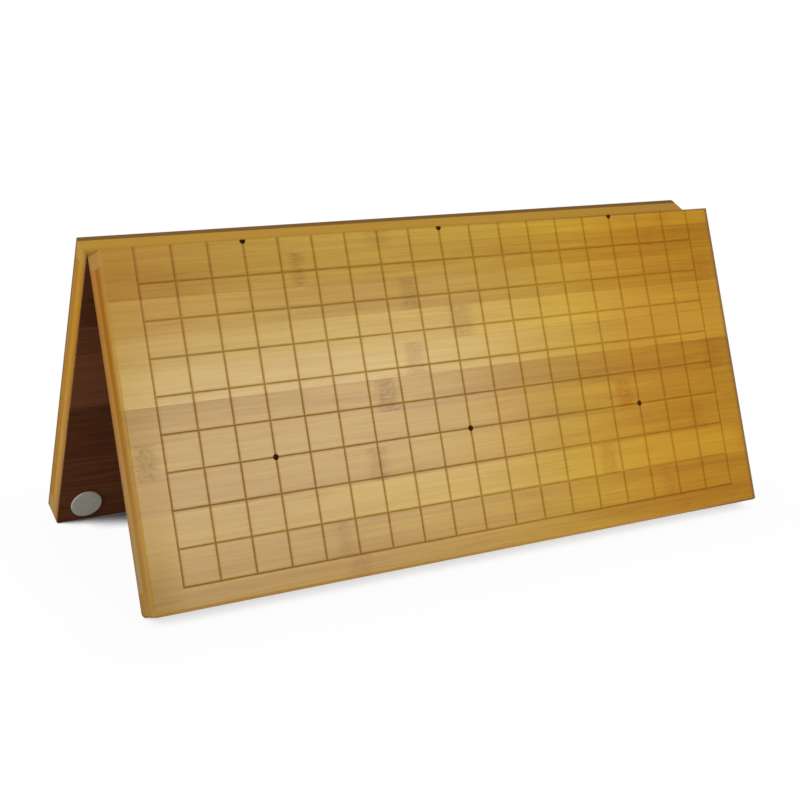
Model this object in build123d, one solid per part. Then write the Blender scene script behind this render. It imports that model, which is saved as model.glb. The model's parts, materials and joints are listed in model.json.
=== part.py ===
from build123d import *
import os
from math import asin, cos, degrees, radians, sin

# A folding go board: two laminated bamboo halves, joined by two butt hinges
# let into their undersides, so the play faces stay outside when it folds.
# Here it stands as an open A on the lower edges of both halves.
# Lengths are in millimetres and angles in degrees.
#
# Each half is drawn lying flat: X along the fold, Y out from the fold, Z up
# from the underside to the play face. Both are then swung about the hinge axis.

# The board
board_length = 450.0
board_depth = 420.0
board_thickness = 20.0
fold_gap = 0.3
corner_radius = 3.0
face_arris_radius = 2.0
under_arris_radius = 1.2
under_end_chamfer = 0.8
fold_chamfer = 0.35
standing_angle = 44.3

# The laminated build of each half
face_ply_thickness = 4.0
under_ply_thickness = 10.0
fold_batten_width = 10.4
edge_batten_width = 14.4
strip_count = 9

# The grid
lines_each_way = 19
column_pitch = 22.7
row_pitch = 21.8
line_width = 0.9
line_depth = 0.3
star_radius = 1.85
star_depth = 0.35
star_line_count = 4
star_fold_inset = 1.0

# The hinges
hinge_inset = 75.0
hinge_length = 50.0
leaf_width = 16.0
leaf_thickness = 1.0
pin_radius = 1.0
pin_clearance = 0.05
knuckle_count = 3
knuckle_gap = 0.2
knuckle_clearance = 0.35
mortise_clearance = 0.1

# The screw holes in the leaves
screw_hole_radius = 1.25
countersink_radius = 2.25
screw_spread = 17.0
screw_near_place = 6.2
screw_far_place = 12.0

# The pads under the outer corners
pad_radius = 10.3
pad_thickness = 1.5
pad_end_inset = 18.9
pad_edge_inset = 15.0
pad_meeting_gap = 0.3

cut_overrun = 1.0

# What follows from the sizes above
half_depth = board_depth / 2
fold_setback = fold_gap / 2
strip_width = (half_depth - fold_batten_width - edge_batten_width) / strip_count
core_top = board_thickness - face_ply_thickness
bore_radius = pin_radius + pin_clearance
knuckle_radius = bore_radius + leaf_thickness
hinge_drop = knuckle_radius - leaf_thickness
lean = standing_angle / 2
fold_swing = 90 - lean
rounding_centre_out = half_depth - under_arris_radius
rounding_centre_up = under_arris_radius + hinge_drop
hinge_height = (
    cos(radians(lean)) * rounding_centre_out
    - sin(radians(lean)) * rounding_centre_up
    + under_arris_radius
)


def block(x_low, x_high, y_low, y_high, z_low, z_high):
    """A box between six planes."""
    size = Box(x_high - x_low, y_high - y_low, z_high - z_low)
    return Pos((x_low + x_high) / 2, (y_low + y_high) / 2, (z_low + z_high) / 2) * size


def rod_along_x(radius, length):
    """A round bar about the X axis, centred at the origin."""
    return Rot(0, 90, 0) * Cylinder(radius, length)


def column_places():
    """Where the lines that run out from the fold cross the X axis."""
    first = -column_pitch * (lines_each_way - 1) / 2
    return [first + column_pitch * i for i in range(lines_each_way)]


def row_places():
    """How far each line along the board lies from the fold, without the fold itself."""
    return [row_pitch * (i + 1) for i in range(lines_each_way // 2)]


def side_profile():
    """One half seen along the fold: soft at its far edge, crisp where the halves meet."""
    outline = Polyline(
        (fold_setback, 0),
        (half_depth, 0),
        (half_depth, board_thickness),
        (fold_setback + fold_chamfer, board_thickness),
        (fold_setback, board_thickness - fold_chamfer),
        close=True,
    )
    face = make_face(outline)
    face = fillet(face.vertices().group_by(Axis.X)[-1].sort_by(Axis.Y)[0], under_arris_radius)
    return fillet(face.vertices().group_by(Axis.X)[-1].sort_by(Axis.Y)[-1], face_arris_radius)


def end_profile():
    """The board seen from its far edge: rounded above at both ends, bevelled below."""
    face = Pos(0, board_thickness / 2) * Rectangle(board_length, board_thickness)
    face = chamfer(face.vertices().group_by(Axis.Y)[0], under_end_chamfer)
    return fillet(face.vertices().group_by(Axis.Y)[-1], face_arris_radius)


def plan_outline():
    """One half seen from above, with its far corners rounded."""
    face = Pos(0, half_depth / 2) * Rectangle(board_length, half_depth)
    return fillet(face.vertices().group_by(Axis.Y)[-1], corner_radius)


def half_shell():
    """The outside of one half: what its three outlines have in common."""
    along = extrude(Plane.YZ * side_profile(), board_length / 2, both=True)
    out = extrude(Plane.XZ * end_profile(), half_depth, both=True)
    up = extrude(plan_outline(), board_thickness)
    return along & out & up


def groove(length):
    """A V groove along X as a solid to be cut away, its bottom at the origin's height."""
    rise = line_depth + cut_overrun
    reach = line_width / 2 * rise / line_depth
    outline = Polyline((0, 0), (reach, rise), (-reach, rise), close=True)
    return extrude(Plane.YZ * make_face(outline), length / 2, both=True)


def grid_grooves():
    """The engraved lines and star points, as solids to be cut away."""
    columns = column_places()
    rows = row_places()
    floor = board_thickness - line_depth
    run_out = rows[-1] + line_width / 2
    run_along = columns[-1] - columns[0] + line_width
    cuts = [Pos(x, run_out / 2, floor) * Rot(0, 0, 90) * groove(run_out) for x in columns]
    cuts += [Pos(0, y, floor) * groove(run_along) for y in rows]
    depth = star_depth + cut_overrun
    star = Pos(0, 0, board_thickness - star_depth + depth / 2) * Cylinder(star_radius, depth)
    middle = lines_each_way // 2
    star_columns = [columns[star_line_count - 1], columns[middle], columns[-star_line_count]]
    star_rows = [star_fold_inset, rows[middle - star_line_count]]
    cuts += [Pos(x, y, 0) * star for x in star_columns for y in star_rows]
    return cuts


def hinge_places():
    """The middles of the left and the right hinge along the fold."""
    reach = board_length / 2 - hinge_inset
    return [-reach, reach]


def screw_places():
    """Each leaf's screw holes: one near the fold and one further out."""
    return [(-screw_spread, screw_near_place), (screw_spread, screw_far_place)]


def hinge_mortise():
    """The recess for one leaf and its knuckles."""
    half_run = hinge_length / 2 + mortise_clearance
    far_side = leaf_width + mortise_clearance
    seat = block(-half_run, half_run, -cut_overrun, far_side, -cut_overrun, leaf_thickness)
    barrel = rod_along_x(knuckle_radius + knuckle_clearance, hinge_length + 2 * knuckle_clearance)
    return [seat, Pos(0, 0, -hinge_drop) * barrel]


def half_blank():
    """One whole half, worked on all sides, before it is parted into its battens and plies."""
    blank = half_shell() - grid_grooves()
    for x in hinge_places():
        blank -= [Pos(x, 0, 0) * cut for cut in hinge_mortise()]
    return blank


def strip_edges():
    """The glue lines between the battens and the strips of the underside."""
    return [fold_batten_width + strip_width * i for i in range(strip_count + 1)]


def part_from(blank, y_low, y_high, z_low, z_high):
    """What lies of the blank between two glue lines and two ply faces."""
    end = board_length / 2 + cut_overrun
    return blank & block(-end, end, y_low, y_high, z_low, z_high)


def half_pieces(blank):
    """The wooden pieces of one half, by name."""
    edges = strip_edges()
    top = board_thickness + cut_overrun
    pieces = {
        "fold_batten": part_from(blank, 0, edges[0], -cut_overrun, top),
        "edge_batten": part_from(blank, edges[-1], half_depth + cut_overrun, -cut_overrun, top),
        "face_ply": part_from(blank, edges[0], edges[-1], core_top, top),
        "core_ply": part_from(blank, edges[0], edges[-1], under_ply_thickness, core_top),
    }
    for i in range(strip_count):
        strip = part_from(blank, edges[i], edges[i + 1], -cut_overrun, under_ply_thickness)
        pieces[f"under_strip_{i + 1}"] = strip
    return pieces


def knuckle_spans(first):
    """Start and end along X of every second knuckle, from the given one on."""
    length = (hinge_length - knuckle_gap * (knuckle_count - 1)) / knuckle_count
    starts = [(length + knuckle_gap) * i - hinge_length / 2 for i in range(first, knuckle_count, 2)]
    return [(start, start + length) for start in starts]


def hinge_leaf(first_knuckle):
    """A leaf with rolled knuckles about the pin and countersunk holes."""
    root = knuckle_radius + knuckle_clearance
    leaf = block(-hinge_length / 2, hinge_length / 2, root, leaf_width, 0, leaf_thickness)
    for start, end in knuckle_spans(first_knuckle):
        roll = rod_along_x(knuckle_radius, end - start)
        leaf += Pos((start + end) / 2, 0, -hinge_drop) * roll
        leaf += block(start, end, 0, root, 0, leaf_thickness)
    leaf -= Pos(0, 0, -hinge_drop) * rod_along_x(bore_radius, hinge_length + 2 * cut_overrun)
    sink = Cone(countersink_radius, screw_hole_radius, leaf_thickness)
    for x, y in screw_places():
        leaf -= Pos(x, y, leaf_thickness / 2) * sink
    return leaf


def hinge_pin():
    """The pin through both leaves' knuckles."""
    return Pos(0, 0, -hinge_drop) * rod_along_x(pin_radius, hinge_length)


def pad():
    """A round pad stuck to the underside."""
    return Pos(0, 0, -pad_thickness / 2) * Cylinder(pad_radius, pad_thickness)


def half_fittings(first_knuckle):
    """The leaves and pads that one half carries, by name."""
    pieces = {}
    for side, x in zip(("left", "right"), hinge_places()):
        pieces[f"{side}_hinge_leaf"] = Pos(x, 0, 0) * hinge_leaf(first_knuckle)
    pad_x = board_length / 2 - pad_end_inset
    pad_y = half_depth - pad_edge_inset
    pieces["left_pad"] = Pos(-pad_x, pad_y, 0) * pad()
    pieces["right_pad"] = Pos(pad_x, pad_y, 0) * pad()
    return pieces


def swing(side):
    """The move from lying flat to standing: about the hinge axis, far edge down."""
    return Pos(0, 0, hinge_height) * Rot(side * fold_swing, 0, 0) * Pos(0, 0, hinge_drop)


def closing_angle():
    """How far the halves are still open when their pads meet."""
    rise = pad_thickness - hinge_drop + pad_meeting_gap / 2
    nearest = half_depth - pad_edge_inset - pad_radius
    return 2 * degrees(asin(rise / nearest))


def assembly():
    """Every piece in its place, by node name."""
    blank = half_blank()
    wood = half_pieces(blank)
    nodes = {}
    for name, piece in {**wood, **half_fittings(0)}.items():
        nodes[f"back_{name}"] = swing(-1) * piece
    for name, piece in {**wood, **half_fittings(1)}.items():
        nodes[f"front_{name}"] = swing(1) * mirror(piece, about=Plane.XZ)
    for side, x in zip(("left", "right"), hinge_places()):
        nodes[f"{side}_hinge_pin"] = swing(-1) * Pos(x, 0, 0) * hinge_pin()
    return nodes


os.makedirs("parts", exist_ok=True)
for node, shape in assembly().items():
    export_step(shape, f"parts/{node}.step")
print(f"hinge axis {hinge_height:.3f} mm above the floor, strips {strip_width:.3f} mm wide")
print(f"pads meet at {closing_angle():.3f} degrees, standing at {standing_angle} degrees")
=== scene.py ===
import functools
import json
import math
from types import SimpleNamespace

import bmesh
import bpy
from mathutils import Matrix, Vector


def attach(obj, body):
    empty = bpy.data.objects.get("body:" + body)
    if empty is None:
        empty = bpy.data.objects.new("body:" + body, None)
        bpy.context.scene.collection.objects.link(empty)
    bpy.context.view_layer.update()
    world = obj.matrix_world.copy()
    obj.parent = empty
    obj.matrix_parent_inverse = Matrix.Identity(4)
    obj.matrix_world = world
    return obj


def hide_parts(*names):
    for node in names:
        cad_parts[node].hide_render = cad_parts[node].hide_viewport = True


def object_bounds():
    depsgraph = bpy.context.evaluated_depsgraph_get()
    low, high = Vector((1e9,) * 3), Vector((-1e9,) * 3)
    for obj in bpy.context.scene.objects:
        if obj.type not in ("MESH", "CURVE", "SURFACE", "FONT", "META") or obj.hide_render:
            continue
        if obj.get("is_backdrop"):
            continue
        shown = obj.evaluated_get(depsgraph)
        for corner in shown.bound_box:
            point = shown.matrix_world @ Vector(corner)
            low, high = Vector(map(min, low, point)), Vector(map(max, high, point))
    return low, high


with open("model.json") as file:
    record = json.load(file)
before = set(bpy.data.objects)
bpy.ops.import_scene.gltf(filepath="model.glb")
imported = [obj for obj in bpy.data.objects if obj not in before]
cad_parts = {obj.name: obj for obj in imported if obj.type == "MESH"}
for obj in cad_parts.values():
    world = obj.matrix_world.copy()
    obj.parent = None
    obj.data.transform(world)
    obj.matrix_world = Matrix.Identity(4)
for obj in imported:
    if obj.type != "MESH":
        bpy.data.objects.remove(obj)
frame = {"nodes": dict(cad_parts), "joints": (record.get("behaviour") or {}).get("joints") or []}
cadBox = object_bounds()

# the board's own sizes, in millimetres and degrees
board = dict(
    length=450.0,
    halfDepth=210.0,
    thickness=20.0,
    lean=22.15,
    hingeDrop=1.05,
    foldBatten=10.4,
    edgeBatten=14.4,
    strips=9,
    columnPitch=22.7,
    rowPitch=21.8,
    lineWidth=0.9,
    starRadius=1.85,
    starSteps=6,  # lines from the middle of the board to the outer star points
    foldStarInset=1.0,
    gridSteps=9,
)
mm = 0.001
hingeHeight = frame["joints"][0]["pos_m"][2] / mm
stripWidth = (board["halfDepth"] - board["foldBatten"] - board["edgeBatten"]) / board["strips"]
leanSin = math.sin(math.radians(board["lean"]))
leanCos = math.cos(math.radians(board["lean"]))


def boardPoint(side, x, out, up):  # side -1 is the front half, 1 the back half
    reach = up + board["hingeDrop"]
    y = side * (leanSin * out + leanCos * reach)
    z = hingeHeight - leanCos * out + leanSin * reach
    return Vector((x, y, z)) * mm


def underFrame(side, x, out):  # X along the board, Z out of the underside
    origin = boardPoint(side, x, out, 0)
    zAxis = (boardPoint(side, x, out, -1) - origin).normalized()
    xAxis = Vector((1, 0, 0))
    yAxis = zAxis.cross(xAxis)
    turn = Matrix((xAxis, yAxis, zAxis)).transposed().to_4x4()
    return Matrix.Translation(origin) @ turn @ Matrix.Scale(mm, 4)


class Wire:  # one socket, so that shader maths can be written as expressions
    def __init__(self, paint, socket):
        self.paint = paint
        self.socket = socket

    def __add__(self, other):
        return self.paint.math("ADD", self, other)

    def __radd__(self, other):
        return self.paint.math("ADD", other, self)

    def __sub__(self, other):
        return self.paint.math("SUBTRACT", self, other)

    def __rsub__(self, other):
        return self.paint.math("SUBTRACT", other, self)

    def __mul__(self, other):
        return self.paint.math("MULTIPLY", self, other)

    def __rmul__(self, other):
        return self.paint.math("MULTIPLY", other, self)

    def __truediv__(self, other):
        return self.paint.math("DIVIDE", self, other)

    def __pow__(self, other):
        return self.paint.math("POWER", self, other)

    def __lt__(self, other):
        return self.paint.math("LESS_THAN", self, other)

    def __gt__(self, other):
        return self.paint.math("GREATER_THAN", self, other)

    def __abs__(self):
        return self.paint.math("ABSOLUTE", self)

    def __round__(self):
        return self.paint.math("ROUND", self)

    def __floor__(self):
        return self.paint.math("FLOOR", self)

    def least(self, other):
        return self.paint.math("MINIMUM", self, other)

    def most(self, other):
        return self.paint.math("MAXIMUM", self, other)

    def ramp(self, low, high, start=0.0, end=1.0):  # a smooth step from start to end
        settings = dict(interpolation_type="SMOOTHSTEP")
        sockets = {"Value": self, "From Min": low, "From Max": high, "To Min": start, "To Max": end}
        return self.paint.node("ShaderNodeMapRange", settings, sockets)


class Paint:  # one material, or the world, and the nodes in it
    def __init__(self, name, owner=None):
        self.material = owner or bpy.data.materials.new(name)
        self.material.use_nodes = True
        self.tree = self.material.node_tree
        self.shader = self.tree.nodes.get("Principled BSDF")

    def node(self, kind, settings, sockets, output=0):
        made = self.tree.nodes.new(kind)
        for key, value in settings.items():
            if key == "stops":
                self.setStops(made.color_ramp, value)
            elif key == "steps":
                made.color_ramp.interpolation = value
            else:
                setattr(made, key, value)
        for key, value in sockets.items():
            self.feed(self.find(made, key), value)
        return Wire(self, made.outputs[output])

    def find(self, made, key):
        if isinstance(key, int):
            return made.inputs[key]
        return next(s for s in made.inputs if key in (s.identifier, s.name))

    def feed(self, socket, value):
        if isinstance(value, Wire):
            self.tree.links.new(value.socket, socket)
        elif isinstance(value, tuple) and len(value) == 3 and socket.type == "RGBA":
            socket.default_value = (*value, 1)
        else:
            socket.default_value = value

    def split(self, vector):
        parts = self.tree.nodes.new("ShaderNodeSeparateXYZ")
        self.feed(parts.inputs[0], vector)
        return [Wire(self, output) for output in parts.outputs]

    def setStops(self, ramp, stops):
        while len(ramp.elements) < len(stops):
            ramp.elements.new(1.0)
        for element, (place, colour) in zip(ramp.elements, stops):
            element.position = place
            element.color = (*colour, 1)

    def math(self, operation, *values):
        sockets = dict(enumerate(values))
        return self.node("ShaderNodeMath", dict(operation=operation), sockets)

    def vector(self, x, y, z):
        return self.node("ShaderNodeCombineXYZ", {}, {0: x, 1: y, 2: z})

    def place(self):  # object coordinates, in metres
        return self.split(self.node("ShaderNodeTexCoord", {}, {}, "Object"))

    def scaled(self, place, spans):
        return self.vector(*(part / span for part, span in zip(place, spans)))

    def noise(self, vector, detail=2.0, roughness=0.5):
        sockets = dict(Vector=vector, Scale=1.0, Detail=detail, Roughness=roughness)
        return self.node("ShaderNodeTexNoise", {}, sockets)

    def grain(self, place, spans, detail=2.0, roughness=0.5):  # noise with features of about these sizes
        return self.noise(self.scaled(place, spans), detail, roughness)

    def mix(self, amount, first, second):
        settings = dict(data_type="RGBA", clamp_factor=True)
        sockets = {"Factor_Float": amount, "A_Color": first, "B_Color": second}
        return self.node("ShaderNodeMix", settings, sockets, 2)

    def tint(self, colour, factor):  # colour times factor, channel by channel
        settings = dict(data_type="RGBA", blend_type="MULTIPLY")
        sockets = {"Factor_Float": 1.0, "A_Color": colour, "B_Color": factor}
        return self.node("ShaderNodeMix", settings, sockets, 2)

    def partTint(self, amount, colour, factor):
        return self.mix(amount, colour, self.tint(colour, factor))

    def blend(self, amount, first, second):  # between two plain numbers
        sockets = {"Factor_Float": amount, "A_Float": first, "B_Float": second}
        return self.node("ShaderNodeMix", {}, sockets)

    def colours(self, amount, stops):
        return self.node("ShaderNodeValToRGB", dict(stops=stops), {0: amount})

    def pick(self, index, values):  # the value that stands at a whole-number index
        count = len(values)
        stops = [(i / count, (value, value, value)) for i, value in enumerate(values)]
        settings = dict(stops=stops, steps="CONSTANT")
        return self.node("ShaderNodeValToRGB", settings, {0: (index + 0.5) / count})

    def bump(self, height, distance):
        return self.node("ShaderNodeBump", {}, dict(Height=height, Distance=distance, Strength=1.0))

    def finish(self, **sockets):
        for key, value in sockets.items():
            self.feed(self.find(self.shader, key.replace("_", " ")), value)
        return self.material


def boardPlace(paint):  # where a point lies on its half, in mm: along the fold, out from it, up through it
    x, y, z = (part / mm for part in paint.place())
    away = abs(y)
    drop = hingeHeight - z
    out = away * leanSin + drop * leanCos
    up = away * leanCos - drop * leanSin - board["hingeDrop"]
    return x, out, up


# the scorch of the engraved lines and the ink of the star points, in mm
engraving = dict(
    overrun=0.3,
    columnBlur=(0.4, 1.25, 0.9),  # inside and outside the edge of a line, and its strength
    rowBlur=(0.4, 1.05, 0.84),
    starBlur=0.12,
    lineDepth=0.6,
    starDepth=0.8,
)


def lineMask(distance, reach, blur):
    inside, outside, strength = blur
    return distance.ramp(reach - inside, reach + outside, strength, 0)


def gridMasks(x, out, up):  # the engraved lines and star points
    e = engraving
    reach = board["lineWidth"] / 2
    columnReach = board["columnPitch"] * board["gridSteps"] + reach + e["overrun"]
    rowReach = board["rowPitch"] * board["gridSteps"] + reach + e["overrun"]
    column = abs(x - round(x / board["columnPitch"]) * board["columnPitch"])
    nearestRow = round(out / board["rowPitch"])
    row = abs(out - nearestRow * board["rowPitch"])
    columnLine = lineMask(column, reach, e["columnBlur"])
    rowLine = lineMask(row, reach, e["rowBlur"]) * (nearestRow > 0.5)
    inside = (abs(x) < columnReach) * (out < rowReach) * (up > board["thickness"] - e["lineDepth"])
    starColumn = board["columnPitch"] * board["starSteps"]
    starRow = board["rowPitch"] * board["starSteps"]
    starX = abs(x).least(abs(abs(x) - starColumn))
    starOut = abs(out - board["foldStarInset"]).least(abs(out - starRow))
    distance = (starX * starX + starOut * starOut) ** 0.5
    star = distance.ramp(board["starRadius"] - e["starBlur"], board["starRadius"] + e["starBlur"], 1, 0)
    return columnLine.most(rowLine) * inside, star * (up > board["thickness"] - e["starDepth"])


# how deep below the play face each look begins and is complete, in mm
faceSpans = dict(
    arris=(2.8, 0.5),
    foldArris=(5.0, 4.0),
    endTopBand=(4.4, 3.2),
    rightEdge=(4.0, 2.5),
    crease=(1.0, 0.5),
    lacquer=(1.4, 0.3),
)

# where the look changes along the board, in mm from its middle, and from which value to which
alongSpans = dict(
    tone=(-170, 130),
    foldCorner=(-205, -140, 1, 0),
    foldSide=(-60, 60, 1, 0),
    markTint=(-20, 130),
    dullCorner=(-224, -198, 1, 0),
    foldGrain=(20, 220, 1, 0.4),
    edgeHighlightAndShade=(150, 215),
    arris=(-200, 200),
    crease=(-60, 190),
    rightEdge=(220.6, 222.4),
    lineInk=(-150, 160, 0.42, 0.33),
    starInk=(-120, 200),
    leftGloss=(-223, -195, 0.75, 1),
    rightGloss=(0, 190, 1, 0.6),
)

# the same, out from the fold
outSpans = dict(
    foldCorner=(44, 60, 1, 0),
    foldSide=(30, 110, 1, 0),
    dullCorner=(150, 206),
    lowEnd=(60, 190),
    foldFace=(0.2, 0.6, 1, 0),
    crease=(0.7, 1.7, 1, 0),
    foldEnd=(0.6, 2.0, 1, 0),
    arrisGloss=(20, 110, 1, 0.6),
    gloss=(0.4, 1.0),
)


def nearFace(up, look):
    deep, shallow = faceSpans[look]
    return up.ramp(board["thickness"] - deep, board["thickness"] - shallow)


def arrisMask(x, out, up):  # where sanding has rounded the edges that the underside doesn't touch
    start, full = faceSpans["arris"]
    end = abs(x).ramp(board["length"] / 2 - start, board["length"] / 2 - full)
    far = out.ramp(board["halfDepth"] - start, board["halfDepth"] - full)
    top = nearFace(up, "arris")
    return (end * far + end * top + far * top).least(1)


# base colours of the bamboo, from the darkest heartside to the palest, what is burnt or stained, and the
# painted shade of edges and of the fold's valley
bambooColours = dict(
    deep=(0.270, 0.105, 0.010),
    honey=(0.450, 0.226, 0.022),
    golden=(0.545, 0.305, 0.036),
    straw=(0.640, 0.402, 0.082),
    foldFace=(0.760, 0.415, 0.074),
    # the fold face's painted valley shade, darkest at the bottom of the valley
    valleyShade=(0.740, 0.650, 0.380),
    culmMark=(0.700, 0.630, 0.740),
    culmMarkRight=(0.840, 0.680, 0.560),
    burnt=(0.125, 0.027, 0.002),
    # painted shade for edges turned from the lamps and for the shadows in the crease and valley between the
    # halves; it also darkens a band along the top of the back's ends
    arris=(0.205, 0.112, 0.042),
    alongHues=(  # share of the board's length from the left, and the tint there
        (0.0, (0.862, 0.925, 0.900)),
        (0.5, (0.970, 1.075, 0.860)),
        (0.7, (1.035, 1.098, 0.660)),
        (0.86, (0.965, 0.870, 0.460)),
        (1.0, (0.930, 0.868, 0.400)),
    ),
    foldCorner=(0.970, 0.860, 0.740),
    foldSide=(1.000, 1.000, 1.180),
    headroom=1.1,  # a ramp's colours stop at 1, so the tints above 1 are scaled by this
    dull=(0.5, 0.5, 0.4),
    foldGrain=(0.76, 0.78, 0.80),
    untinted=(1, 1, 1),
    star=(0.030, 0.011, 0.001),
    starPale=(0.075, 0.026, 0.002),
    stain=(0.240, 0.088, 0.036),
    stainDark=(0.108, 0.035, 0.015),
)


plankStops = ((0.0, "deep"), (0.38, "honey"), (0.62, "golden"), (1.0, "straw"))

# the figure of the wood in mm: along the fibres, across them and through the ply
figure = dict(
    fine=(26, 0.42, 0.42),
    streaks=(70, 1.7, 1.7),
    broad=(150, 9, 14),
    drift=190,
    sway=(14, 9, 9),
    markEdge=(12, 7, 7),
    mottle=(2.4, 1.4, 1.4),
    fibreEnds=(90, 0.85, 0.85),
    stainEdge=(4, 2, 2),
    lineWear=(7, 7, 1),
    stripShift=1700,  # so that the strips aren't cut from one stretch of cane
    markReach=4.5,
    markSpread=4,
    markRagged=7,
    markFade=(-4, 3),
    endFoot=(0, 7),
    # where the painted valley shade on the fold face is full and where it ends, in mm up from the underside
    valleyShadeDepth=(0, 9),
    stainReach=(0.0, 0.35),
    seam=(0.004, 0.012),  # in strip widths
    relief=0.05,
)

# how much each layer of the figure counts
toneWeights = dict(fine=0.46, streaks=0.34, broad=0.36, drift=0.3)
stainWeights = dict(streaks=0.5, fine=0.3, chance=0.26, drift=0.16)
reliefWeights = dict(fine=0.35, streaks=0.65)


def caneMarks(paint, look, x, strip, chance, place):  # the joints of the cane, one or two to a strip
    ragged = (paint.grain(place, figure["markEdge"]) - 0.5) * figure["markRagged"]
    reach = figure["markReach"] + figure["markSpread"] * chance + ragged
    share = x / board["length"] + 0.5
    marks = []
    for places, strengths in zip(look["marks"], look["markStrengths"]):
        gap = abs(share - paint.pick(strip, [p / board["length"] for p in places])) * board["length"]
        marks.append((gap - reach).ramp(*figure["markFade"], 1, 0) * paint.pick(strip, strengths))
    return functools.reduce(Wire.most, marks)


def woodFigure(paint, look):  # what the parts of the look are drawn with
    x, out, up = boardPlace(paint)
    intoStrips = (out - board["foldBatten"]) / stripWidth
    strip = (math.floor(intoStrips) + 1).most(0).least(board["strips"] + 1)
    seeded = dict(W=strip + look["seed"])
    chance = paint.node("ShaderNodeTexWhiteNoise", dict(noise_dimensions="1D"), seeded)
    along = x + chance * figure["stripShift"]
    place = (along, out, up)
    marks = caneMarks(paint, look, x, strip, chance, place)

    # long fibres: the same streaks run along the faces and end as specks on the ends
    sway = paint.grain(place, figure["sway"]) - 0.5
    fibres = (along, out + sway * (0.8 + 1.6 * marks), up)
    facing = paint.split(paint.node("ShaderNodeNewGeometry", {}, {}, "Normal"))
    return SimpleNamespace(
        x=x,
        out=out,
        up=up,
        intoStrips=intoStrips,
        strip=strip,
        chance=chance,
        place=place,
        marks=marks,
        mottle=paint.grain(place, figure["mottle"], 3, 0.6).ramp(0.32, 0.68),
        fine=paint.grain(fibres, figure["fine"], 3, 0.6),
        streaks=paint.grain(fibres, figure["streaks"], 3, 0.55),
        broad=paint.grain(fibres, figure["broad"]),
        drift=paint.noise(paint.vector(along / figure["drift"], strip, look["seed"]), 1),
        corner=x.ramp(*alongSpans["dullCorner"]) * out.ramp(*outSpans["dullCorner"]),
        isEnd=abs(facing[0]).ramp(0.55, 0.85),
        arris=arrisMask(x, out, up),
    )


def plankColour(paint, look, w):
    c = bambooColours
    leftTone, rightTone = (paint.pick(w.strip, look[key]) for key in ("tones", "rightTones"))
    tone = paint.blend(w.x.ramp(*alongSpans["tone"]), leftTone, rightTone)
    for layer, weight in toneWeights.items():
        tone = tone + (getattr(w, layer) - 0.5) * weight
    colour = paint.colours(tone, [(place, c[name]) for place, name in plankStops])

    # the planks are a little yellower in their middle, redder at the right end and at the fold's left corner
    room = c["headroom"]
    hues = [(place, tuple(part / room for part in hue)) for place, hue in c["alongHues"]]
    hue = paint.tint(paint.colours(w.x / board["length"] + 0.5, hues), (room, room, room))
    colour = paint.tint(colour, hue)
    for spot in ("foldCorner", "foldSide"):
        reach = w.x.ramp(*alongSpans[spot]) * w.out.ramp(*outSpans[spot])
        colour = paint.partTint(reach, colour, c[spot])

    # the mottled patch where a joint of the cane was planed off
    markTint = paint.mix(w.x.ramp(*alongSpans["markTint"]), c["culmMark"], c["culmMarkRight"])
    colour = paint.partTint(w.marks * (0.28 + w.mottle * look["markDepth"]), colour, markTint)
    return paint.partTint(w.corner * look["dullCorner"], colour, c["dull"])


def endGrain(paint, look, w, colour):  # cut ends: darker, with the fibre bundles as specks
    cells = dict(Vector=paint.scaled(w.place, figure["fibreEnds"]), Scale=1.0, Randomness=0.9)
    specks = paint.node("ShaderNodeTexVoronoi", {}, cells).ramp(0.18, 0.42, 1, 0)
    batten = abs(w.strip - (board["strips"] + 1) / 2) > board["strips"] / 2
    low = w.out.ramp(*outSpans["lowEnd"])
    plyEnd, battenEnd = (paint.mix(low, look[key], look["lowEnd"]) for key in ("endColour", "battenEnd"))
    foot = paint.mix(w.up.ramp(*figure["endFoot"]), look["endFoot"], bambooColours["untinted"])
    cut = paint.tint(paint.mix(batten, plyEnd, battenEnd), foot)
    return paint.mix(w.isEnd * (look["endShade"] + specks * 0.35), colour, cut)


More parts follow.
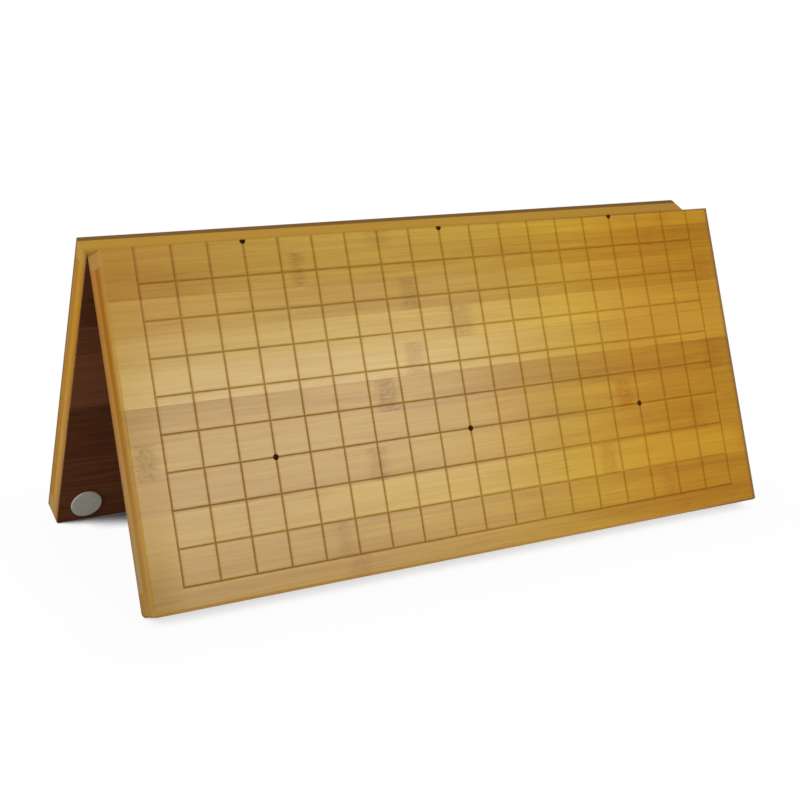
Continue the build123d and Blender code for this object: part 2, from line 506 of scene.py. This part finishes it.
def seamsFoldFaceAndEdgeShade(paint, look, w, colour):
    c = bambooColours
    # glue lines between strips, a trace darker
    seam = abs(w.intoStrips - round(w.intoStrips)).ramp(*figure["seam"], 1, 0)
    colour = paint.mix(seam * 0.28, colour, c["deep"])

    # the cut face at the fold, with painted shade darkening it towards the bottom of the valley between the
    # halves
    foldFace = w.out.ramp(*outSpans["foldFace"])
    streaked = w.streaks * w.x.ramp(*alongSpans["foldGrain"])
    grained = paint.tint(c["foldFace"], paint.mix(streaked, c["foldGrain"], c["untinted"]))
    valleyShade = paint.mix(w.up.ramp(*figure["valleyShadeDepth"]), c["valleyShade"], c["untinted"])
    colour = paint.mix(foldFace * 0.85, colour, paint.tint(grained, valleyShade))

    # painted shade on the edges: arrises turned from the lamps are darkened, the crease and the valley
    # between the halves get painted shadow, and the front's lit left arrises a paler painted highlight; the
    # top of the back's ends is darker too
    # a darker band along the top of the ends, used on the back
    darkEndTop = nearFace(w.up, "endTopBand") * w.isEnd * look["endTopDarkening"]
    colour = paint.mix(darkEndTop, colour, c["arris"])
    # painted light on the arrises: the look's arrisColour, a paler painted highlight on the front and a dark
    # painted shade on the back, turns to the dark painted shade at the right end
    edgeHighlightAndShade = paint.mix(w.x.ramp(*alongSpans["edgeHighlightAndShade"]), look["arrisColour"], c["arris"])
    colour = paint.mix(w.arris * w.x.ramp(*alongSpans["arris"], *look["arrisShade"]), colour, edgeHighlightAndShade)
    # painted shadow in the crease above the front's fold edge, deeper to the right, and painted shade on the
    # front's right-end arris
    crease = w.out.ramp(*outSpans["crease"]) * w.x.ramp(*alongSpans["crease"])
    rightEdge = w.x.ramp(*alongSpans["rightEdge"]) * nearFace(w.up, "rightEdge")
    w.handled = (crease * nearFace(w.up, "crease")).most(rightEdge) * look["crease"]
    # painted shadow at the fold end of the front half, where the valley between the halves meets the end
    foldEnd = w.out.ramp(*outSpans["foldEnd"]) * w.isEnd * look["foldEnd"]
    # painted shade on the back's arris at the fold, which faces away from the lamps
    foldArris = nearFace(w.up, "foldArris") * foldFace * look["foldEdgeShade"]
    for amount in (foldEnd, w.handled, foldArris):
        colour = paint.mix(amount, colour, c["arris"])
    return colour


def stainBelow(paint, w, colour):  # the underside and its edges are dark, with the grain still showing
    rag = paint.grain(w.place, figure["stainEdge"]) * 0.5
    reach = (w.up - rag).ramp(*figure["stainReach"], 1, 0)
    parts = [getattr(w, layer) * weight for layer, weight in stainWeights.items()]
    tone = (functools.reduce(Wire.__add__, parts) - 0.09).ramp(0.28, 0.72)
    return paint.mix(reach, colour, paint.mix(tone, bambooColours["stainDark"], bambooColours["stain"]))


def lacquerOn(paint, look, w):  # satin, on the play face only, thinner on some strips, gone on the star points, on the arrises and where the painted crease and edge shade lies
    bare = w.star.most(w.handled).most(w.arris * w.out.ramp(*outSpans["arrisGloss"]))
    lacquer = nearFace(w.up, "lacquer") * (1 - w.line * 0.55) * (1 - bare) * (1 - w.marks * w.mottle * 0.35)
    lacquer = lacquer * paint.pick(w.strip, look["lacquer"]) * (0.86 + w.streaks * 0.28)
    lacquer = lacquer * w.x.ramp(*alongSpans["leftGloss"]) * w.x.ramp(*alongSpans["rightGloss"])
    return lacquer * w.out.ramp(*outSpans["gloss"]) * (1 - w.corner * look["dullCorner"])


def bamboo(name, look):
    paint = Paint(name)
    c = bambooColours
    w = woodFigure(paint, look)
    colour = plankColour(paint, look, w)
    colour = endGrain(paint, look, w, colour)
    colour = seamsFoldFaceAndEdgeShade(paint, look, w, colour)
    colour = stainBelow(paint, w, colour)

    w.line, w.star = gridMasks(w.x, w.out, w.up)
    wear = paint.grain((w.x, w.out, 0), figure["lineWear"]).ramp(0.3, 0.62, 0.85, 1.1)
    colour = paint.mix(w.line * (wear * w.x.ramp(*alongSpans["lineInk"])), colour, c["burnt"])
    starInk = paint.mix(w.x.ramp(*alongSpans["starInk"]), c["star"], c["starPale"])
    colour = paint.mix(w.star, colour, starInk)

    height = w.fine * reliefWeights["fine"] + w.streaks * reliefWeights["streaks"] + w.mottle * w.marks * 0.5
    return paint.finish(
        Base_Color=colour,
        Roughness=0.5 + (w.streaks - 0.5) * 0.2 + w.isEnd * 0.12,
        Normal=paint.bump(height, figure["relief"] * mm),
        Coat_Weight=lacquerOn(paint, look, w),
        Coat_Roughness=look["coatRoughness"],
        Specular_IOR_Level=look["gloss"],
    )


# strip by strip from the fold to the far edge: tone, and where its cane joints lie in mm from the left end
frontPlay = dict(
    seed=3.0,
    tones=(0.46, 0.43, 0.51, 0.56, 0.60, 0.36, 0.39, 0.39, 0.46, 0.38, 0.33),
    rightTones=(0.54, 0.35, 0.36, 0.57, 0.51, 0.24, 0.41, 0.41, 0.59, 0.40, 0.33),
    marks=(
        (180, 122, 196, 231, 193, 169, 9, 156, 328, 125, 134),
        (407, 392, 436, 436, 438, 431, 350, 409, 446, 375, 383),
    ),
    markStrengths=(
        (0.5, 0.8, 0.7, 0.7, 0.8, 1.0, 0.85, 0.7, 0.8, 0.6, 0.5),
        (0.4, 0.3, 0.5, 0.3, 0.3, 0.5, 0.9, 0.4, 0.5, 0.6, 0.3),
    ),
    markDepth=0.7,
    lacquer=(0.48, 0.44, 0.58, 0.72, 0.80, 0.58, 0.56, 0.52, 0.52, 0.53, 0.54),
    coatRoughness=0.26,
    gloss=0.0,
    endColour=(0.450, 0.195, 0.050),
    lowEnd=(0.500, 0.275, 0.085),
    endShade=0.6,
    endTopDarkening=0.0,
    endFoot=(0.70, 0.68, 0.72),  # how much darker the ends are where they meet the underside
    foldEnd=0.7,
    battenEnd=(0.505, 0.290, 0.088),
    # the front's arrises away from the right end: greyer and paler than the face, a painted highlight where
    # the lamps fall on them
    arrisColour=(0.440, 0.250, 0.078),
    arrisShade=(0.42, 0.75),  # at the left and the right end
    crease=0.65,
    dullCorner=0.28,
    foldEdgeShade=0.2,
)
backPlay = dict(
    frontPlay,
    seed=41.0,
    tones=(0.48, 0.55, 0.41, 0.46, 0.36, 0.58, 0.50, 0.40, 0.47, 0.62, 0.43),
    rightTones=(0.46, 0.50, 0.44, 0.48, 0.40, 0.52, 0.53, 0.38, 0.50, 0.58, 0.40),
    marks=(
        (88, 301, 47, 212, 374, 139, 260, 18, 333, 176, 95),
        (290, 96, 268, 421, 165, 349, 52, 239, 121, 402, 317),
    ),
    # the back's end colour: its own end-grain tone, made paler and bluer by a painted sheen
    endColour=(0.560, 0.330, 0.120),
    lowEnd=(0.560, 0.330, 0.120),
    endShade=0.75,
    foldEnd=0.1,
    battenEnd=(0.585, 0.325, 0.065),
    # dark: painted shade on the back's arrises, which face away from the lamps
    arrisColour=(0.165, 0.098, 0.042),
    crease=0.0,
    dullCorner=0.0,
    endTopDarkening=0.75,
    arrisShade=(0.8, 0.8),
    foldEdgeShade=0.85,
)
underWood = dict(
    frontPlay,
    seed=77.0,
    tones=(0.50, 0.56, 0.45, 0.60, 0.52, 0.42, 0.58, 0.47, 0.54, 0.49, 0.50),
    rightTones=(0.50, 0.52, 0.48, 0.57, 0.50, 0.45, 0.55, 0.49, 0.52, 0.51, 0.50),
    marks=((60, 240, 130, 330, 205, 80, 300, 150, 390, 110, 270),),
    endColour=(0.490, 0.205, 0.052),
    lowEnd=(0.480, 0.300, 0.135),
    endShade=0.8,
)
coreWood = dict(
    underWood,
    seed=112.0,
    tones=(0.34, 0.30, 0.36, 0.28, 0.33, 0.38, 0.31, 0.35, 0.40, 0.36, 0.38),
    endColour=(0.380, 0.145, 0.010),
    lowEnd=(0.430, 0.235, 0.065),
    endShade=0.65,
)
backUnder = dict(
    underWood,
    seed=153.0,
    tones=(0.46, 0.53, 0.58, 0.44, 0.55, 0.49, 0.41, 0.57, 0.51, 0.45, 0.50),
    endColour=(0.610, 0.290, 0.040),
    lowEnd=(0.610, 0.335, 0.110),
)
backCore = dict(
    coreWood,
    seed=139.0,
    endColour=(0.520, 0.250, 0.045),
    lowEnd=(0.520, 0.250, 0.045),
)

# the brass of the hinges, with a cloudy tarnish
brassLook = dict(
    bright=(0.640, 0.430, 0.165),
    dull=(0.340, 0.205, 0.070),
    roughness=0.3,
    rubbedAlong=12,
    cloud=(5, 5, 5),
    relief=0.02,
)

# the screws are duller than the leaves they hold
screwBrassLook = dict(
    brassLook,
    bright=(0.430, 0.265, 0.095),
    dull=(0.210, 0.120, 0.042),
)


def brass(name, look, brushed):
    paint = Paint(name)
    place = [part / mm for part in paint.place()]
    rubbed = paint.grain(place, (look["rubbedAlong"], brushed, brushed), 3, 0.6)
    cloud = paint.grain(place, look["cloud"], 3, 0.55)
    tarnish = (cloud * 0.75 + rubbed * 0.25).ramp(0.38, 0.68)
    return paint.finish(
        Base_Color=paint.mix(tarnish * 0.6, look["bright"], look["dull"]),
        Roughness=look["roughness"] + tarnish * 0.22 + (rubbed - 0.5) * 0.2,
        Metallic=1.0,
        Normal=paint.bump(rubbed, look["relief"] * mm),
    )


# the pads: soft grey rubber on a thin adhesive backing
padLook = dict(
    radius=10.3,
    thickness=1.5,
    endInset=18.9,
    edgeInset=15.0,
    backing=0.25,
    backingInset=0.3,
    backingBlur=0.05,
    lip=0.1,
    rim=0.45,
    rimSteps=6,
    dishStart=0.55,  # share of the radius
    dish=(0.03, 0.05),
    turns=72,
    hair=(0.35, 0.35, 0.35),
    cloud=(4, 4, 4),
    relief=0.12,
    pale=(0.600, 0.605, 0.520),
    dark=(0.500, 0.500, 0.430),
)


def rubberPaint():
    p = padLook
    paint = Paint("greyPad")
    place = boardPlace(paint)
    hair = paint.grain(place, p["hair"], 4, 0.7)
    cloud = paint.grain(place, p["cloud"])
    tone = (hair * 0.55 + cloud * 0.45).ramp(0.32, 0.68)
    backing = place[2].ramp(-p["backing"] - p["backingBlur"], -p["backing"] + p["backingBlur"])
    colour = paint.mix(backing * 0.7, paint.mix(tone, p["dark"], p["pale"]), p["dark"])
    relief = paint.bump(hair, p["relief"] * mm)
    return paint.finish(Base_Color=colour, Roughness=0.85 + hair * 0.1, Normal=relief)


def lathe(mesh, profile, turns):  # profile is a list of (radius, height) that starts on the axis
    rings = []
    for radius, height in profile:
        if radius == 0:
            rings.append([mesh.verts.new((0, 0, height))] * turns)
            continue
        angles = [2 * math.pi * i / turns for i in range(turns)]
        points = [(radius * math.cos(angle), radius * math.sin(angle), height) for angle in angles]
        rings.append([mesh.verts.new(point) for point in points])
    for low, high in zip(rings, rings[1:]):
        for i in range(turns):
            j = (i + 1) % turns
            corners = []
            for corner in (low[i], low[j], high[j], high[i]):
                if corner not in corners:
                    corners.append(corner)
            mesh.faces.new(corners)


def makePiece(name, mesh, material, place, smoothBelow=40):
    bmesh.ops.recalc_face_normals(mesh, faces=mesh.faces)
    data = bpy.data.meshes.new(name)
    mesh.transform(place)
    mesh.to_mesh(data)
    mesh.free()
    data.materials.append(material)
    data.shade_smooth()
    data.set_sharp_from_angle(angle=math.radians(smoothBelow))
    piece = bpy.data.objects.new(name, data)
    bpy.context.scene.collection.objects.link(piece)
    return piece


def padProfile():
    p = padLook
    wall, top, rim = p["radius"], p["thickness"], p["rim"]
    inner = wall - p["backingInset"]
    profile = [(0, 0), (inner, 0), (inner, p["backing"]), (wall, p["backing"] + p["lip"])]
    for i in range(p["rimSteps"] + 1):
        angle = math.radians(90 / p["rimSteps"] * i)
        profile.append((wall - rim * (1 - math.cos(angle)), top - rim * (1 - math.sin(angle))))
    start, middle = p["dish"]
    return profile + [(wall * p["dishStart"], top - start), (0, top - middle)]


def makePads(rubber):
    for half, side in (("front", -1), ("back", 1)):
        for end, way in (("left", -1), ("right", 1)):
            mesh = bmesh.new()
            lathe(mesh, padProfile(), padLook["turns"])
            x = way * (board["length"] / 2 - padLook["endInset"])
            place = underFrame(side, x, board["halfDepth"] - padLook["edgeInset"])
            piece = makePiece(f"{half}_{end}_soft_pad", mesh, rubber, place)
            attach(piece, f"{half}_half")
            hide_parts(f"{half}_{end}_pad")


# the hinge screws: countersunk, with a cross recess
screwLook = dict(
    head=2.2,
    shank=1.2,
    length=10.0,
    tip=2.4,
    arm=1.35,
    armWidth=0.26,
    depth=0.75,
    taper=0.62,
    edge=0.06,
    chamfer=0.05,
    hingeReach=150.0,
    places=((-17.0, 6.2), (17.0, 12.0)),
    twists=(0.3, 1.1, 0.7, 0.1, 0.9, 1.3, 0.5, 1.0),
    turns=32,
    smoothBelow=30,
)


def loop(mesh, corners):  # the edges round a row of corners, made where they are missing
    pairs = zip(corners, corners[1:] + corners[:1])
    return [mesh.edges.get(pair) or mesh.edges.new(pair) for pair in pairs]


def addScrew(mesh, place, twist):
    q = screwLook
    screw = bmesh.new()
    head, shank = q["head"], q["shank"]
    profile = [(0, -q["length"]), (shank, q["tip"] - q["length"]), (shank, shank - head)]
    lathe(screw, profile + [(head, -q["edge"]), (head - q["chamfer"], 0)], q["turns"])
    rim = [v for v in screw.verts if v.co.z == 0]
    rim.sort(key=lambda v: math.atan2(v.co.y, v.co.x))
    arm, half = q["arm"], q["armWidth"]
    corners = [(half, half), (half, arm), (-half, arm), (-half, half), (-arm, half), (-arm, -half)]
    corners += [(-x, -y) for x, y in corners]
    crossing = [screw.verts.new((x, y, 0)) for x, y in corners]
    taper = q["taper"]
    floor = [screw.verts.new((x * taper, y * taper, -q["depth"])) for x, y in corners]
    for i in range(len(corners)):
        j = (i + 1) % len(corners)
        screw.faces.new((crossing[i], crossing[j], floor[j], floor[i]))
    screw.faces.new(floor)
    bmesh.ops.triangle_fill(screw, edges=loop(screw, rim) + loop(screw, crossing), use_beauty=True)
    bmesh.ops.recalc_face_normals(screw, faces=screw.faces)
    screw.transform(place @ Matrix.Rotation(twist, 4, "Z"))
    data = bpy.data.meshes.new("screw")
    screw.to_mesh(data)
    screw.free()
    mesh.from_mesh(data)
    bpy.data.meshes.remove(data)


def makeScrews(metal):
    twists = iter(screwLook["twists"])
    for half, side in (("front", -1), ("back", 1)):
        mesh = bmesh.new()
        for middle in (-screwLook["hingeReach"], screwLook["hingeReach"]):
            for x, out in screwLook["places"]:
                addScrew(mesh, underFrame(side, middle + x, out), next(twists))
        piece = makePiece(f"{half}_cross_screws", mesh, metal, Matrix.Identity(4), screwLook["smoothBelow"])
        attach(piece, f"{half}_half")


def dress(names, material):
    for name in names:
        node = frame["nodes"][name]
        node.data.materials.clear()
        node.data.materials.append(material)


def dressFrame():
    play = dict(front=bamboo("frontBamboo", frontPlay), back=bamboo("backBamboo", backPlay))
    under = dict(front=bamboo("frontUnderside", underWood), back=bamboo("backUnderside", backUnder))
    core = dict(front=bamboo("frontCore", coreWood), back=bamboo("backCore", backCore))
    leafBrass = brass("hingeBrass", brassLook, 0.4)
    for half in ("front", "back"):
        dress([f"{half}_{part}" for part in ("fold_batten", "edge_batten", "face_ply")], play[half])
        dress([f"{half}_core_ply"], core[half])
        dress([f"{half}_under_strip_{i + 1}" for i in range(board["strips"])], under[half])
        dress([f"{half}_{end}_hinge_leaf" for end in ("left", "right")], leafBrass)
    dress(["left_hinge_pin", "right_hinge_pin"], brass("pinBrass", brassLook, 0.25))


# a plain white sweep, in metres: the camera sees it nearly white, with a soft shadow where something stands
studio = dict(
    floorSize=40.0,
    floorColour=(0.88, 0.88, 0.88),
    # glowNear and glowReach paint a faint fixed shadow round the board's footprint at rest
    glowNear=0.96,
    glowReach=0.09,
    footprint=(0.225, 0.1),
    contactReach=0.036,  # how far the shadow of a foot spreads
    contactDepth=0.41,
    contactFalloff=3,
    roofReach=0.14,  # how far up a roof still shuts the floor in
    roofLine=0.081,
    roofBlur=0.002,
    roofOpenness=(0.5, 0.8),
    shadeFrom=0.28,  # openness where the shade between the halves is full, and where it ends
    shadeTo=(11.6, 0.33, 0.34),  # growth per metre inward, value at the end of the board, least value
    roofDepth=1.03,
    roofFalloff=1.3,
    worldGrey=0.19,
)
lamps = [
    dict(name="frontSoftbox", place=(0.31, -1.14, 0.52), aim=(0, -0.06, 0.1), size=(0.82, 0.27), power=7.9),
    dict(name="leftFill", place=(-1.6, -0.5, 0.9), aim=(-0.1, 0, 0.1), size=(1.0, 1.0), power=16.0),
    dict(name="backFill", place=(0.7, 1.6, 0.75), aim=(0, 0.1, 0.1), size=(1.2, 0.8), power=15.0),
]


def seenDirectly(paint):  # 1 where a camera, mirror or glass ray looks
    kinds = ("Is Camera Ray", "Is Glossy Ray", "Is Transmission Ray")
    rays = [paint.node("ShaderNodeLightPath", {}, {}, kind) for kind in kinds]
    return functools.reduce(Wire.__add__, rays).least(1)


def openTo(paint, reach):  # the share of the sky that nothing nearer than the reach hides
    return paint.node("ShaderNodeAmbientOcclusion", dict(samples=8), dict(Distance=reach), "AO")


def floorShade(paint, x, y):  # how brightly the floor glows, and how dark it is between the halves
    s = studio
    besideX = (abs(x) - s["footprint"][0]).most(0)
    besideY = (abs(y) - s["footprint"][1]).most(0)
    away = (besideX * besideX + besideY * besideY) ** 0.5
    openness = openTo(paint, s["contactReach"])

    # between the halves the floor is shut in from above, the more so the further from their ends
    between = abs(y).ramp(s["roofLine"] - s["roofBlur"], s["roofLine"] + s["roofBlur"], 1, 0)
    between = between * openTo(paint, s["roofReach"]).ramp(*s["roofOpenness"], 1, 0)
    growth, atEnd, least = s["shadeTo"]
    inward = s["footprint"][0] - abs(x)
    shade = (1 - openness.ramp(s["shadeFrom"], (inward * growth + atEnd).most(least))) * between
    contact = (1 - openness).most(0) ** s["contactFalloff"] * (1 - between) * s["contactDepth"]
    glow = away.ramp(0, s["glowReach"], s["glowNear"], 1) * (1 - contact)
    return glow, 1 - (1 - shade * s["roofDepth"]).most(0) ** s["roofFalloff"]


def mixShaders(paint, amount, first, second):
    return paint.node("ShaderNodeMixShader", {}, {0: amount, 1: first, 2: second})


def makeFloor():
    mesh = bmesh.new()
    bmesh.ops.create_grid(mesh, x_segments=2, y_segments=2, size=studio["floorSize"] / 2)
    data = bpy.data.meshes.new("floor")
    mesh.to_mesh(data)
    mesh.free()
    floor = bpy.data.objects.new("floor", data)
    bpy.context.scene.collection.objects.link(floor)
    paint = Paint("whiteSweep")
    paint.tree.nodes.remove(paint.shader)
    x, y, _ = paint.place()
    glow, dark = floorShade(paint, x, y)
    seen = seenDirectly(paint)
    plain = paint.node("ShaderNodeBsdfDiffuse", {}, dict(Color=studio["floorColour"]))
    white, unlit = (paint.node("ShaderNodeEmission", {}, dict(Strength=strength)) for strength in (1.0, 0.0))
    lit = mixShaders(paint, glow * seen, plain, white)
    surface = mixShaders(paint, dark * seen, lit, unlit)
    paint.feed(paint.tree.nodes["Material Output"].inputs[0], surface)
    data.materials.append(paint.material)
    floor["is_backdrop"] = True


def makeWorld():
    world = bpy.data.worlds.new("studio")
    bpy.context.scene.world = world
    world.use_nodes = True
    paint = Paint("studio", world)
    strengths = (studio["worldGrey"], 1.0)
    dim, white = (
        paint.node("ShaderNodeBackground", {}, dict(Color=(1, 1, 1), Strength=strength))
        for strength in strengths
    )
    sky = mixShaders(paint, seenDirectly(paint), dim, white)
    paint.feed(paint.tree.nodes["World Output"].inputs[0], sky)


def makeLamps():
    for lamp in lamps:
        data = bpy.data.lights.new(lamp["name"], "AREA")
        data.shape = "RECTANGLE"
        data.size, data.size_y = lamp["size"]
        data.energy = lamp["power"]
        light = bpy.data.objects.new(lamp["name"], data)
        light.location = lamp["place"]
        gaze = Vector(lamp["aim"]) - Vector(lamp["place"])
        light.rotation_euler = gaze.to_track_quat("-Z", "Y").to_euler()
        bpy.context.scene.collection.objects.link(light)


# the photograph's viewpoint
view = dict(
    place=(-0.48582, -0.80378, 0.36074),
    turn=(73.3347, -1.889, -29.94),
    lens=65.468,
    sensor=36.0,
    nearest=0.01,
)


def makeCamera():
    data = bpy.data.cameras.new("viewpoint")
    data.lens = view["lens"]
    data.sensor_width = view["sensor"]
    data.clip_start = view["nearest"]
    camera = bpy.data.objects.new("viewpoint", data)
    camera.location = view["place"]
    camera.rotation_euler = [math.radians(angle) for angle in view["turn"]]
    bpy.context.scene.collection.objects.link(camera)
    bpy.context.scene.camera = camera


bpy.context.scene.view_settings.view_transform = "Standard"
makeCamera()
print("camera set")
makeFloor()
makeWorld()
makeLamps()
print("studio lit")
dressFrame()
print("bamboo and brass painted")
makePads(rubberPaint())
makeScrews(brass("screwBrass", screwBrassLook, 0.3))
print("pads and screws made")

sizes = dict(cad=[list(corner) for corner in cadBox], visual=[list(corner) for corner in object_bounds()])
